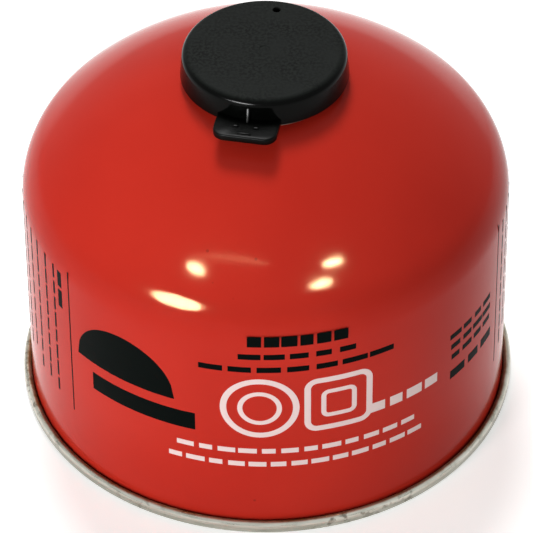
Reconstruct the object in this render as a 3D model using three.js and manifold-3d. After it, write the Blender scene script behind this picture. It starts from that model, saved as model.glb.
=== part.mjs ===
// A squat screw-on fuel canister with its protective cap.
// Units are millimetres, +Z is up, the floor is z = 0 and the can's axis is the Z axis.
// The front of the can faces -Y.
import * as THREE from "three";
import { mergeVertices } from "three/addons/utils/BufferGeometryUtils.js";
import Module from "manifold-3d";

const wasm = await Module();
wasm.setup();

// Painted shell: a drawn steel cup, upside down, with a domed top
const wallRadius = 53.05;
const wallTop = 53.3;
const shoulderRadius = 15.84;
const crownRadius = 67.62;
const plate = 0.45;

// Double seam that joins the shell to the base end
const seamHeight = 2.9;
const seamCorner = 0.7;
const seamGap = 0.2;
const bodyHookGap = 0.35;
const endHookGap = 0.32;

// Base end: a bare plate dished into the can
const basePanelRadius = 165;
const baseKnuckle = 2.2;
const chuckWallTop = 4.6;

// Mouth of the shell: a curled bead around a 25.4 mm hole
const mouthRadius = 12.7;
const beadRadius = 1.5;
const beadLift = 1.3;
const beadFootAngle = -50;
const mouthDepth = 2.2;

// Valve cup: a bare plate cup crimped under the bead, with a threaded collar in its middle
const cupPlate = 0.4;
const cupMouthGap = 0.1;
const cupRimRadius = 2.05;
const cupRimLift = 0.25;
const rimFootGap = 0.3;
const crimpBulge = 0.6;
const crimpDrop = 3.2;
const cupFloorDrop = 4.5;
const cupCorner = 0.8;
const cupCornerTurn = 60;
const collarRadius = 5.556;
const collarRise = 1.95;
const collarMouthGap = 1.25;
const collarCorner = 0.6;

// Gasket between the bead and the rim of the valve cup
const rimGasketGap = 0.1;
const rimGasketThickness = 0.35;
const rimGasketStart = 0;
const rimGasketEnd = 100;

// Valve housing, stem, stem seal and spring
const runningGap = 0.2;
const stemSealThickness = 1.1;
const stemSealGap = 0.3;
const sealGap = 0.1;
const housingLength = 10.05;
const housingFloor = 1.2;
const housingInlet = 0.8;
const housingFlangeWidth = 2;
const housingFlangeThickness = 0.7;
const flangeGap = 0.1;
const stemNubRadius = 1.45;
const stemNubRecess = 0.25;
const stemDiscGap = 0.4;
const stemDiscThickness = 1.45;
const stemGuideRadius = 1.7;
const stemGuideLength = 2.1;
const springWire = 0.5;
const springGuideGap = 0.4;
const springBoreGap = 0.9;
const springTurns = 6;
const springClosedTurns = 1;
const springClosedGap = 0.075;
const springSeatGap = 0.3;

// Room that the valve has inside the can
const pocketGap = 0.4;

// Protective cap: a moulded disc with a skirt, a sleeve over the collar and a pull tab
const capCollarGap = 0.49;
const capFace = 1.4;
const capEdge = 1.8;
const skirtRimGap = 0.38;
const skirtWall = 1;
const skirtFlare = 0.4;
const skirtFootGap = 2.05;
const skirtFillet = 0.8;
const sleeveGap = 0.15;
const sleeveWall = 1.05;
const sleeveLength = 3.6;
const sleeveLeadIn = 0.4;
const ventRadius = 0.9;
const ventInset = 2.3;
const tabAzimuth = -11.4;
const tabLength = 5.9;
const tabHalfWidth = 6.8;
const tabThickness = 1.6;
const tabDrop = 0.1;
const tabCorner = 2.6;
const gussetWidth = 1.1;
const gussetReach = 0.6;
const gussetHeight = 3.4;
const gripHeight = 0.35;
const gripWidth = 0.6;
const innerGripInset = 3.4;
const innerGripSpread = 2.2;
const innerGripLength = 1.3;
const outerGripInset = 1.2;
const outerGripLength = 3;

// Facets round each piece
const canSegments = 48;
const capSegments = 36;
const cupSegments = 32;
const valveSegments = 24;
const ventSegments = 16;
const springSteps = 11;
const springSides = 6;

// Facets along the arcs of a section or an outline
const cornerSteps = 2;
const bendSteps = 3;
const panelSteps = 4;
const hookSteps = 6;
const hookInsideSteps = 4;
const domeSteps = 6;
const beadSteps = 7;
const rimSteps = 8;
const gasketSteps = 5;
const capEdgeSteps = 5;
const tabCornerSteps = 6;

// Points closer than this are one point, and a radius smaller than this is on the axis.
const weldDistance = 1e-4;
const axisDistance = 1e-6;

const point = (r, z) => new THREE.Vector2(r, z);

// Points of an arc about (r, z), from one angle to the other in degrees.
function arc(r, z, radius, from, to, steps) {
  const points = [];
  for (let i = 0; i <= steps; i += 1) {
    const angle = THREE.MathUtils.degToRad(from + ((to - from) * i) / steps);
    const out = r + radius * Math.cos(angle);
    points.push(point(Math.abs(out) < axisDistance ? 0 : out, z + radius * Math.sin(angle)));
  }
  return points;
}

// A bare position mesh with shared vertices and no empty triangles.
function weld(geometry) {
  const bare = geometry.index ? geometry.toNonIndexed() : geometry.clone();
  bare.deleteAttribute("normal");
  bare.deleteAttribute("uv");
  const merged = mergeVertices(bare, weldDistance);
  const index = merged.index.array;
  const kept = [];
  for (let i = 0; i < index.length; i += 3) {
    const [a, b, c] = [index[i], index[i + 1], index[i + 2]];
    if (a !== b && b !== c && c !== a) {
      kept.push(a, b, c);
    }
  }
  merged.setIndex(kept);
  return merged;
}

// A profile of (radius, height) turned about +Z. It runs anticlockwise, outer side upwards.
function revolve(profile, segments) {
  const lathe = new THREE.LatheGeometry(profile, segments);
  lathe.rotateX(Math.PI / 2);
  return weld(lathe);
}

// The closed section of a sheet of even thickness that follows a line through its middle.
function sheet(middle, thickness) {
  const right = [];
  const left = [];
  middle.forEach((here, i) => {
    const before = middle[Math.max(i - 1, 0)];
    const after = middle[Math.min(i + 1, middle.length - 1)];
    const into = here.clone().sub(before).normalize();
    const out = after.clone().sub(here).normalize();
    const along = into.clone().add(out).normalize();
    const miter = i === 0 || i === middle.length - 1 ? 1 : along.dot(into);
    const side = here.x === 0 ? point(0, -1) : point(along.y, -along.x);
    side.multiplyScalar(thickness / 2 / miter);
    right.push(here.clone().add(side));
    left.push(here.clone().sub(side));
  });
  const section = [...right, ...left.reverse()];
  return middle[0].x === 0 ? section : [...section, section[0]];
}

// Between three.js geometry and a solid that can be cut and joined.
function solid(geometry) {
  const welded = weld(geometry);
  const vertProperties = new Float32Array(welded.attributes.position.array);
  const triVerts = new Uint32Array(welded.index.array);
  return new wasm.Manifold(new wasm.Mesh({ numProp: 3, vertProperties, triVerts }));
}

function geometryOf(body) {
  const mesh = body.getMesh();
  const geometry = new THREE.BufferGeometry();
  geometry.setAttribute("position", new THREE.BufferAttribute(mesh.vertProperties, 3));
  geometry.setIndex(new THREE.BufferAttribute(mesh.triVerts, 1));
  return geometry;
}

// A flat outline in the XY plane, raised from one height by a thickness.
function slab(shape, bottom, thickness) {
  const geometry = new THREE.ExtrudeGeometry(shape, {
    depth: thickness,
    bevelEnabled: false,
    curveSegments: tabCornerSteps,
  });
  geometry.translate(0, 0, bottom);
  return geometry;
}

// The crown arc is centred on the axis and meets the shoulder arc where their slopes agree.
const shoulderCentre = wallRadius - shoulderRadius;
const shoulderAngle = THREE.MathUtils.radToDeg(Math.acos(shoulderCentre / (crownRadius - shoulderRadius)));
const crownCentre = wallTop - Math.sqrt((crownRadius - shoulderRadius) ** 2 - shoulderCentre ** 2);
const crownHeight = (r) => crownCentre + Math.sqrt(crownRadius ** 2 - r ** 2);

// The bead stands on the crown, and the cup's rim covers the bead.
const beadCentre = mouthRadius + beadRadius;
const beadLevel = crownHeight(beadCentre + beadRadius) + beadLift;
const bead = arc(beadCentre, beadLevel, beadRadius, beadFootAngle, 180, beadSteps);
const beadFoot = bead[0];
const mouthBottom = beadLevel - mouthDepth;

// The base end's panel arc is tangent to its knuckle, which turns down into the chuck wall.
const chuckWall = wallRadius - plate - seamGap - plate / 2;
const baseKnuckleCentre = chuckWall - baseKnuckle;
const basePanelAngle = THREE.MathUtils.radToDeg(Math.acos(baseKnuckleCentre / (basePanelRadius - baseKnuckle)));
const basePanelCentre = chuckWallTop - Math.sqrt((basePanelRadius - baseKnuckle) ** 2 - baseKnuckleCentre ** 2);

// Layers of the seam, from the can's wall outwards: wall, end hook, body hook, seam panel
const hookPitch = plate + seamGap;
const bodyWall = wallRadius - plate / 2;
const endHook = bodyWall + hookPitch;
const bodyHook = endHook + hookPitch;
const seamPanel = bodyHook + hookPitch;
const hookTurn = hookPitch + plate / 2;
const hookInside = hookPitch - plate / 2;
const bodyTurnLevel = plate + seamGap + hookTurn;
const topTurn = (seamPanel - endHook) / 2;
const topTurnLevel = seamHeight - plate / 2 - topTurn;
const bodyHookHeight = topTurnLevel + hookInside - bodyHookGap;
const endHookTip = bodyTurnLevel - hookInside + endHookGap;

// The base end, from its middle out to the tip of its hook
const baseEndMiddle = [
  ...arc(0, basePanelCentre, basePanelRadius, 90, basePanelAngle, panelSteps),
  ...arc(baseKnuckleCentre, chuckWallTop, baseKnuckle, basePanelAngle, 0, bendSteps).slice(1),
  ...arc(chuckWall + seamCorner, plate / 2 + seamCorner, seamCorner, 180, 270, cornerSteps),
  ...arc(seamPanel - seamCorner, plate / 2 + seamCorner, seamCorner, 270, 360, cornerSteps),
  ...arc(seamPanel - topTurn, topTurnLevel, topTurn, 0, 180, hookSteps),
  point(endHook, endHookTip),
];
const baseEnd = revolve(sheet(baseEndMiddle, plate), canSegments);

// The valve cup, from the foot of its rim inwards to the mouth of the collar
const cupWall = mouthRadius - cupMouthGap - cupPlate / 2;
const rimCentre = cupWall + cupRimRadius;
const rimLevel = beadLevel + cupRimLift;
const rimOuter = rimCentre + cupRimRadius;
const rimFoot = crownHeight(rimOuter) + rimFootGap;
const rimTop = rimLevel + cupRimRadius + cupPlate / 2;
const crimpLevel = beadLevel - crimpDrop;
const cupFloor = beadLevel - cupFloorDrop;
const collarWall = collarRadius - cupPlate / 2;
const collarInside = collarRadius - cupPlate;
const collarTop = rimTop + collarRise;
const collarMouthRadius = stemNubRadius + collarMouthGap;
const cupMiddle = [
  point(collarMouthRadius, collarTop - cupPlate / 2),
  ...arc(collarWall - collarCorner, collarTop - cupPlate / 2 - collarCorner, collarCorner, 90, 0, bendSteps),
  ...arc(collarWall + cupCorner, cupFloor + cupCorner, cupCorner, 180, 270, bendSteps),
  ...arc(cupWall - cupCorner, cupFloor + cupCorner, cupCorner, 270, 270 + cupCornerTurn, cornerSteps),
  point(cupWall + crimpBulge, crimpLevel - crimpBulge / 2),
  point(cupWall + crimpBulge, crimpLevel),
  point(cupWall, crimpLevel + crimpBulge),
  ...arc(rimCentre, rimLevel, cupRimRadius, 180, 0, rimSteps),
  point(rimOuter, rimFoot),
];
const valveCup = revolve(sheet(cupMiddle, cupPlate), cupSegments);

// The gasket hugs the top of the bead inside the rim.
const rimGasketInner = beadRadius + rimGasketGap;
const rimGasketSection = [
  ...arc(beadCentre, beadLevel, rimGasketInner + rimGasketThickness, rimGasketStart, rimGasketEnd, gasketSteps),
  ...arc(beadCentre, beadLevel, rimGasketInner, rimGasketEnd, rimGasketStart, gasketSteps),
];
const rimGasket = revolve([...rimGasketSection, rimGasketSection[0]], cupSegments);

// The stem seal lies under the collar's mouth, and the housing holds it there.
const stemSealTop = collarTop - cupPlate - sealGap;
const stemSealBottom = stemSealTop - stemSealThickness;
const stemSealRadius = collarInside - runningGap;
const stemSealHole = stemNubRadius + stemSealGap;
const stemSealSection = [
  point(stemSealHole, stemSealBottom),
  point(stemSealRadius, stemSealBottom),
  point(stemSealRadius, stemSealTop),
  point(stemSealHole, stemSealTop),
  point(stemSealHole, stemSealBottom),
];
const stemSeal = revolve(stemSealSection, valveSegments);

// The housing is a small cup with a flange that bears on the underside of the valve cup's floor.
const housingTop = stemSealBottom - sealGap;
const housingRadius = collarInside - runningGap;
const springRadius = stemGuideRadius + springGuideGap + springWire / 2;
const housingBore = springRadius + springWire / 2 + springBoreGap;
const housingFlangeRadius = housingRadius + housingFlangeWidth;
const housingBottom = housingTop - housingLength;
const flangeTop = cupFloor - cupPlate / 2 - flangeGap;
const flangeBottom = flangeTop - housingFlangeThickness;
const housingSection = [
  point(housingInlet, housingBottom),
  point(housingRadius, housingBottom),
  point(housingRadius, flangeBottom),
  point(housingFlangeRadius, flangeBottom),
  point(housingFlangeRadius, flangeTop),
  point(housingRadius, flangeTop),
  point(housingRadius, housingTop),
  point(housingBore, housingTop),
  point(housingBore, housingBottom + housingFloor),
  point(housingInlet, housingBottom + housingFloor),
  point(housingInlet, housingBottom),
];
const valveHousing = revolve(housingSection, valveSegments);

// The stem's nub passes through the seal, and its disc closes against the seal from below.
const stemDiscTop = stemSealBottom - sealGap;
const stemDiscRadius = housingBore - stemDiscGap;
const stemDiscBottom = stemDiscTop - stemDiscThickness;
const stemSection = [
  point(0, stemDiscBottom - stemGuideLength),
  point(stemGuideRadius, stemDiscBottom - stemGuideLength),
  point(stemGuideRadius, stemDiscBottom),
  point(stemDiscRadius, stemDiscBottom),
  point(stemDiscRadius, stemDiscTop),
  point(stemNubRadius, stemDiscTop),
  point(stemNubRadius, collarTop - stemNubRecess),
  point(0, collarTop - stemNubRecess),
];
const valveStem = revolve(stemSection, valveSegments);

// The spring's height rises slowly over its closed end turns and evenly between them.
class SpringPath extends THREE.Curve {
  constructor(bottom, top) {
    super();
    this.bottom = bottom;
    this.top = top;
  }

  getPoint(t) {
    const turn = t * springTurns;
    const closedPitch = springWire + springClosedGap;
    const rise = this.top - this.bottom;
    const openTurns = springTurns - 2 * springClosedTurns;
    const openPitch = (rise - 2 * springClosedTurns * closedPitch) / openTurns;
    const lower = Math.min(turn, springClosedTurns);
    const open = THREE.MathUtils.clamp(turn - springClosedTurns, 0, openTurns);
    const upper = Math.max(turn - springClosedTurns - openTurns, 0);
    const height = this.bottom + (lower + upper) * closedPitch + open * openPitch;
    const angle = 2 * Math.PI * turn;
    return new THREE.Vector3(springRadius * Math.cos(angle), springRadius * Math.sin(angle), height);
  }
}
const springBottom = housingBottom + housingFloor + springSeatGap;
const springTop = stemDiscBottom - springSeatGap;
const wireSection = new THREE.Shape(
  Array.from({ length: springSides }, (_, i) => {
    const angle = (2 * Math.PI * i) / springSides;
    return point((springWire / 2) * Math.cos(angle), (springWire / 2) * Math.sin(angle));
  }),
);
const valveSpring = weld(
  new THREE.ExtrudeGeometry(wireSection, {
    steps: springTurns * springSteps,
    extrudePath: new SpringPath(springBottom + springWire / 2, springTop - springWire / 2),
    bevelEnabled: false,
  }),
);

// The can: the painted shell with its contents as one solid, and a pocket for the valve
const fillGap = plate / 2 + seamGap;
const pocketRadius = cupWall + crimpBulge + cupPlate / 2 + pocketGap;
const pocketFloor = flangeBottom - pocketGap;
const housingPocket = housingRadius + pocketGap;
const crownEndAngle = THREE.MathUtils.radToDeg(Math.acos(beadFoot.x / crownRadius));
const crown = arc(0, crownCentre, crownRadius, shoulderAngle, crownEndAngle, domeSteps).slice(1);
const canSection = [
  ...arc(0, basePanelCentre, basePanelRadius + fillGap, 90, basePanelAngle, panelSteps),
  ...arc(baseKnuckleCentre, chuckWallTop, baseKnuckle + fillGap, basePanelAngle, 0, bendSteps).slice(1),
  ...arc(endHook, bodyTurnLevel, hookTurn, 180, 360, hookSteps),
  point(bodyHook + plate / 2, bodyHookHeight),
  point(bodyHook - plate / 2, bodyHookHeight),
  ...arc(endHook, bodyTurnLevel, hookInside, 360, 180, hookInsideSteps),
  ...arc(shoulderCentre, wallTop, shoulderRadius, 0, shoulderAngle, domeSteps),
  ...crown,
  ...bead,
  point(mouthRadius, mouthBottom),
  point(pocketRadius, mouthBottom),
  point(pocketRadius, pocketFloor),
  point(housingPocket, pocketFloor),
  point(housingPocket, housingBottom - pocketGap),
  point(0, housingBottom - pocketGap),
];
const canBody = revolve(canSection, canSegments);

// The cap's turned body
const faceUnder = collarTop + capCollarGap;
const capTop = faceUnder + capFace;
const skirtRadius = rimOuter + cupPlate / 2 + skirtRimGap + skirtWall;
const skirtBottom = crownHeight(skirtRadius) + skirtFootGap;
const capTopRadius = skirtRadius - skirtFlare;
const sleeveInner = collarRadius + sleeveGap;
const sleeveOuter = sleeveInner + sleeveWall;
const sleeveBottom = faceUnder - sleeveLength;
const skirtInnerTop = capTopRadius - skirtWall;
const capSection = [
  point(0, faceUnder),
  point(sleeveInner, faceUnder),
  point(sleeveInner, sleeveBottom + sleeveLeadIn),
  point(sleeveInner + sleeveLeadIn, sleeveBottom),
  point(sleeveOuter, sleeveBottom),
  point(sleeveOuter, faceUnder),
  ...arc(skirtInnerTop - skirtFillet, faceUnder - skirtFillet, skirtFillet, 90, 0, cornerSteps),
  point(skirtRadius - skirtWall, skirtBottom),
  point(skirtRadius, skirtBottom),
  ...arc(capTopRadius - capEdge, capTop - capEdge, capEdge, 0, 90, capEdgeSteps),
  point(0, capTop),
];

// The pull tab, drawn with its tip towards -Y and its root inside the skirt's wall
const tabRoot = skirtRadius - skirtWall / 2;
const tabRootAngle = Math.asin(tabHalfWidth / tabRoot);
const tabReach = skirtRadius + tabLength;
const tabBottom = skirtBottom - tabDrop;
const tabTop = tabBottom + tabThickness;
const tabShape = new THREE.Shape();
tabShape.absarc(0, 0, tabRoot, -Math.PI / 2 - tabRootAngle, -Math.PI / 2 + tabRootAngle, false);
tabShape.lineTo(tabHalfWidth, -tabReach + tabCorner);
tabShape.absarc(tabHalfWidth - tabCorner, -tabReach + tabCorner, tabCorner, 0, -Math.PI / 2, true);
tabShape.absarc(-tabHalfWidth + tabCorner, -tabReach + tabCorner, tabCorner, -Math.PI / 2, -Math.PI, true);
tabShape.closePath();

// The gusset that stiffens the tab is a triangle on edge in the YZ plane.
const gussetShape = new THREE.Shape([
  point(-tabRoot, tabTop - tabThickness / 2),
  point(-tabRoot, tabTop + gussetHeight),
  point(-skirtRadius, tabTop + gussetHeight),
  point(-skirtRadius - gussetReach, tabTop),
  point(-skirtRadius - gussetReach, tabTop - tabThickness / 2),
]);
const gusset = slab(gussetShape, -gussetWidth / 2, gussetWidth);
gusset.rotateX(Math.PI / 2);
gusset.rotateZ(Math.PI / 2);

// Raised grip bars across the tab, as [centre across, distance out, length]
const gripBars = [
  [-innerGripSpread, tabReach - innerGripInset, innerGripLength],
  [innerGripSpread, tabReach - innerGripInset, innerGripLength],
  [0, tabReach - outerGripInset, outerGripLength],
];
// The vent is cut right through the face.
const vent = new THREE.CylinderGeometry(ventRadius, ventRadius, 2 * capEdge, ventSegments);
vent.rotateX(Math.PI / 2);
vent.translate(0, capTopRadius - capEdge - ventInset, capTop - capFace / 2);

let capSolid = solid(revolve(capSection, capSegments));
capSolid = capSolid.add(solid(slab(tabShape, tabBottom, tabThickness)));
capSolid = capSolid.add(solid(gusset));
for (const [across, out, length] of gripBars) {
  const bar = new THREE.BoxGeometry(length, gripWidth, 2 * gripHeight);
  bar.translate(across, -out, tabTop);
  capSolid = capSolid.add(solid(bar));
}
capSolid = capSolid.subtract(solid(vent));
const cap = geometryOf(capSolid);
cap.rotateZ(THREE.MathUtils.degToRad(tabAzimuth));

// Finishes, one for each piece
const finishes = {
  enamel: { color: 0xc8342a, roughness: 0.25, metalness: 0 },
  tinplate: { color: 0xb9b8ab, roughness: 0.35, metalness: 1 },
  blackPlastic: { color: 0x1b1d1c, roughness: 0.45, metalness: 0 },
  rubber: { color: 0x1e1e1e, roughness: 0.8, metalness: 0 },
  acetal: { color: 0xe6e3d8, roughness: 0.4, metalness: 0 },
  brass: { color: 0xb99a55, roughness: 0.35, metalness: 1 },
  springSteel: { color: 0xa6a8aa, roughness: 0.3, metalness: 1 },
};

function piece(name, geometry, finish) {
  const material = new THREE.MeshStandardMaterial(finish);
  const mesh = new THREE.Mesh(geometry, material);
  mesh.name = name;
  return mesh;
}

const can = new THREE.Group();
can.add(piece("can_body", canBody, finishes.enamel));
can.add(piece("base_end", baseEnd, finishes.tinplate));
can.add(piece("valve_cup", valveCup, finishes.tinplate));
can.add(piece("rim_gasket", rimGasket, finishes.rubber));
can.add(piece("stem_seal", stemSeal, finishes.rubber));
can.add(piece("valve_housing", valveHousing, finishes.acetal));
can.add(piece("valve_spring", valveSpring, finishes.springSteel));
can.add(piece("valve_stem", valveStem, finishes.brass));

const canister = new THREE.Group();
canister.add(can);
canister.add(piece("cap", cap, finishes.blackPlastic));

export default canister;
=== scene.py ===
import math
import bpy
import bmesh
from mathutils import Matrix, Vector


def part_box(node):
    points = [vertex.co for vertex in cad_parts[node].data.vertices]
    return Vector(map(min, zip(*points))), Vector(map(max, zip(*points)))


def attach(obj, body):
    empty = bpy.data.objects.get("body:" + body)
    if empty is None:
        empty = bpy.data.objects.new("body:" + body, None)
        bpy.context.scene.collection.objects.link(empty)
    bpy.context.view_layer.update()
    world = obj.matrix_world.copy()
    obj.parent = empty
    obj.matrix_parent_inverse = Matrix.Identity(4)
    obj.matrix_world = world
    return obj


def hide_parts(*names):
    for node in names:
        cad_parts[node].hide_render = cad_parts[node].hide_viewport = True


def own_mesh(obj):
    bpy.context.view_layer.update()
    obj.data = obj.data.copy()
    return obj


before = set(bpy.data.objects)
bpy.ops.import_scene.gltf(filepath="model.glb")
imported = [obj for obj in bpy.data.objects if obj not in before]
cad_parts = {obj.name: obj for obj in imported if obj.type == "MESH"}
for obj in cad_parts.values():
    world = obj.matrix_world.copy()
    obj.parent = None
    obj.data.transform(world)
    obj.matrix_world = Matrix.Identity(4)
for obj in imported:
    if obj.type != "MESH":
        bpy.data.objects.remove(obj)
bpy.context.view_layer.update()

mm = 0.001
tau = 2 * math.pi
onAxis = 1e-6  # a profile point nearer to the axis than this lies on it
sharpAngle = 35  # a mesh edge that turns by more degrees than this stays crisp
softAngle = 40  # an edge that turns by more degrees than this is rounded by a bevel
colourMix = {"data_type": "RGBA"}
times = {"operation": "MULTIPLY"}


# Colours, sizes and nodes

def hexColour(text):
    channels = [int(text[i:i + 2], 16) / 255 for i in (1, 3, 5)]
    linear = [c / 12.92 if c <= 0.04045 else ((c + 0.055) / 1.055) ** 2.4 for c in channels]
    return (*linear, 1.0)


def metres(*sizes):
    return tuple(size * mm for size in sizes)


def perMetre(size):  # a pattern's scale, from the real size of its grain in millimetres
    return 1 / (size * mm)


def setInputs(tree, node, inputs):
    for key, value in inputs.items():
        name = int(key[1:]) if key[0] == "i" and key[1:].isdigit() else key.replace("_", " ")
        socket = node.inputs[name]
        if isinstance(value, bpy.types.NodeSocket):
            tree.links.new(value, socket)
        else:
            socket.default_value = value


def addNode(tree, kind, settings=None, out=0, **inputs):
    node = tree.nodes.new(kind)
    for key, value in (settings or {}).items():
        setattr(node, key, value)
    setInputs(tree, node, inputs)
    return node.outputs if out is None else node.outputs[out]


def newMaterial(name):
    material = bpy.data.materials.new(name)
    material.use_nodes = True
    tree = material.node_tree
    where = addNode(tree, "ShaderNodeTexCoord", out="Object")
    return material, tree, tree.nodes["Principled BSDF"], where


def axisPlace(tree, where):  # distance from the can's axis, and height above the floor
    parts = addNode(tree, "ShaderNodeSeparateXYZ", out=None, Vector=where)
    flat = addNode(tree, "ShaderNodeCombineXYZ", X=parts["X"], Y=parts["Y"])
    return addNode(tree, "ShaderNodeVectorMath", {"operation": "LENGTH"}, out="Value", i0=flat), parts["Z"]


def newTree(name, sockets):
    tree = bpy.data.node_groups.new(name, "GeometryNodeTree")
    tree.interface.new_socket("Geometry", in_out="INPUT", socket_type="NodeSocketGeometry")
    for label, kind in sockets.items():
        tree.interface.new_socket(label, in_out="INPUT", socket_type="NodeSocket" + kind)
    tree.interface.new_socket("Geometry", in_out="OUTPUT", socket_type="NodeSocketGeometry")
    return tree, addNode(tree, "NodeGroupInput", out=None)


# Mesh helpers: sizes in millimetres, kept in metres

def arc(r, z, radius, start, end, steps):
    angles = [math.radians(start + (end - start) * i / steps) for i in range(steps + 1)]
    return [(max(r + radius * math.cos(a), 0.0), z + radius * math.sin(a)) for a in angles]


def roundOutline(radius, steps):
    return [(radius * math.cos(tau * i / steps), radius * math.sin(tau * i / steps)) for i in range(steps)]


def aroundAxis(radius, angle, z):  # an angle of zero is the front, at -Y
    return (radius * mm * math.sin(angle), -radius * mm * math.cos(angle), z * mm)


def sheetSection(middle, thickness):  # both faces of a bent plate, from the line midway between them
    right, left = [], []
    points = [Vector(p) for p in middle]
    for i, here in enumerate(points):
        into = (here - points[max(i - 1, 0)]).normalized()
        out = (points[min(i + 1, len(points) - 1)] - here).normalized()
        along = (into + out).normalized()
        miter = along.dot(into) if 0 < i < len(points) - 1 else 1
        side = Vector((0, -1)) if here.x < onAxis else Vector((along.y, -along.x))
        side *= thickness / 2 / miter
        right.append(tuple(here + side))
        left.append(tuple(here - side))
    return right + left[::-1]


def shadeMesh(mesh):
    mesh.shade_smooth()
    mesh.set_sharp_from_angle(angle=math.radians(sharpAngle))


def finishMesh(name, mesh):
    mesh.validate()
    shadeMesh(mesh)
    piece = bpy.data.objects.new(name, mesh)
    bpy.context.scene.collection.objects.link(piece)
    return piece


def pieceFrom(name, shape):
    mesh = bpy.data.meshes.new(name)
    shape.to_mesh(mesh)
    shape.free()
    return finishMesh(name, mesh)


def ringPairs(rings, closed):
    return zip(rings, rings[1:] + rings[:1]) if closed else zip(rings, rings[1:])


def turned(name, profile, steps, closed=False):
    verts, faces, rings = [], [], []
    for r, z in profile:
        first = len(verts)
        if r < onAxis:
            rings.append([first] * steps)
            verts.append(metres(0, 0, z))
        else:
            rings.append(list(range(first, first + steps)))
            verts += [aroundAxis(r, tau * i / steps, z) for i in range(steps)]
    for low, high in ringPairs(rings, closed):
        for i in range(steps):
            j = (i + 1) % steps
            corners = list(dict.fromkeys((low[i], low[j], high[j], high[i])))
            if len(corners) > 2:
                faces.append(corners)
    mesh = bpy.data.meshes.new(name)
    mesh.from_pydata(verts, [], faces)
    return finishMesh(name, mesh)


def skinned(name, shape, rings, closed=False):
    for here, ahead in ringPairs(rings, closed):
        for k, corner in enumerate(here):
            beside = (k + 1) % len(here)
            shape.faces.new((corner, ahead[k], ahead[beside], here[beside]))
    if not closed:
        shape.faces.new(rings[0])
        shape.faces.new(rings[-1])
    bmesh.ops.recalc_face_normals(shape, faces=shape.faces)
    return pieceFrom(name, shape)


def joined(name, pieces):
    shape = bmesh.new()
    for piece in pieces:
        shape.from_mesh(piece.data)
        bpy.data.objects.remove(piece)
    return pieceFrom(name, shape)


def extruded(name, outline, low, high):
    shape = bmesh.new()
    face = shape.faces.new([shape.verts.new(metres(x, y, low)) for x, y in outline])
    raised = bmesh.ops.extrude_face_region(shape, geom=[face])["geom"]
    bmesh.ops.translate(shape, vec=metres(0, 0, high - low),
                        verts=[v for v in raised if isinstance(v, bmesh.types.BMVert)])
    bmesh.ops.recalc_face_normals(shape, faces=shape.faces)
    return pieceFrom(name, shape)


def applyModifiers(piece):
    graph = bpy.context.evaluated_depsgraph_get()
    mesh = bpy.data.meshes.new_from_object(piece.evaluated_get(graph))
    piece.modifiers.clear()
    piece.data = mesh
    return piece


def runTree(name, tree, values):
    piece = bpy.data.objects.new(name, bpy.data.meshes.new(name))
    bpy.context.scene.collection.objects.link(piece)
    step = piece.modifiers.new("nodes", "NODES")
    step.node_group = tree
    for item in tree.interface.items_tree:
        if item.item_type == "SOCKET" and item.in_out == "INPUT" and item.name in values:
            step[item.identifier] = values[item.name]
    return applyModifiers(piece)


def place(piece, body, slot, material, *nodes):
    piece.data.materials.clear()
    piece.data.materials.append(material)
    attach(piece, body)
    if nodes:
        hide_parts(*nodes)


# Camera, at the photograph's angle

view = {"focalPixels": 4225.7, "imageWidth": 533, "sensor": 36.0, "distance": 931.04, "nearClip": 10.0,
        "elevation": 41.34, "aim": 40.0, "pitch": 41.86, "roll": -0.54}


def makeCamera():
    raised = math.radians(view["elevation"])
    pitch = math.radians(view["pitch"])
    roll = math.radians(view["roll"])
    right = Vector((1, 0, 0))
    forward = Vector((0, math.cos(pitch), -math.sin(pitch)))
    up = right.cross(forward)
    rolledRight = right * math.cos(roll) + up * math.sin(roll)
    rolledUp = up * math.cos(roll) - right * math.sin(roll)
    where = Vector((0, -view["distance"] * math.cos(raised),
                    view["distance"] * math.sin(raised) + view["aim"])) * mm
    lens = bpy.data.cameras.new("camera")
    lens.sensor_width = view["sensor"]
    lens.lens = view["focalPixels"] / view["imageWidth"] * view["sensor"]
    lens.clip_start = view["nearClip"] * mm
    camera = bpy.data.objects.new("camera", lens)
    turn = Matrix((rolledRight, rolledUp, -forward)).transposed().to_4x4()
    camera.matrix_world = Matrix.Translation(where) @ turn
    bpy.context.scene.collection.objects.link(camera)
    bpy.context.scene.camera = camera
    return where


cameraPlace = makeCamera()
print("stage: camera")


# Sizes of the can in millimetres, as its solids have them; beadFoot is the angle where the bead starts
canShape = {"wall": 53.05, "wallTop": 53.3, "shoulder": 15.84, "crown": 67.62, "plate": 0.45,
            "seam": 55.0, "seamHeight": 2.9, "seamCorner": 0.7, "bodyHookHeight": 2.1,
            "endHookTip": 1.42, "seamGap": 0.2, "panel": 165.0, "knuckle": 2.2, "chuckTop": 4.6,
            "mouth": 12.7, "bead": 1.5, "beadLift": 1.3, "beadFoot": -50, "mouthDepth": 2.2,
            "pocket": 13.6, "pocketFloor": 78.2, "well": 5.36, "wellFloor": 76.4, "around": 256}
halfPlate = canShape["plate"] / 2
shoulderCentre = canShape["wall"] - canShape["shoulder"]
crownReach = canShape["crown"] - canShape["shoulder"]
shoulderAngle = math.degrees(math.acos(shoulderCentre / crownReach))
crownCentre = canShape["wallTop"] - math.sqrt(crownReach ** 2 - shoulderCentre ** 2)


def crownHeight(r):
    return crownCentre + math.sqrt(canShape["crown"] ** 2 - r ** 2)


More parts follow.
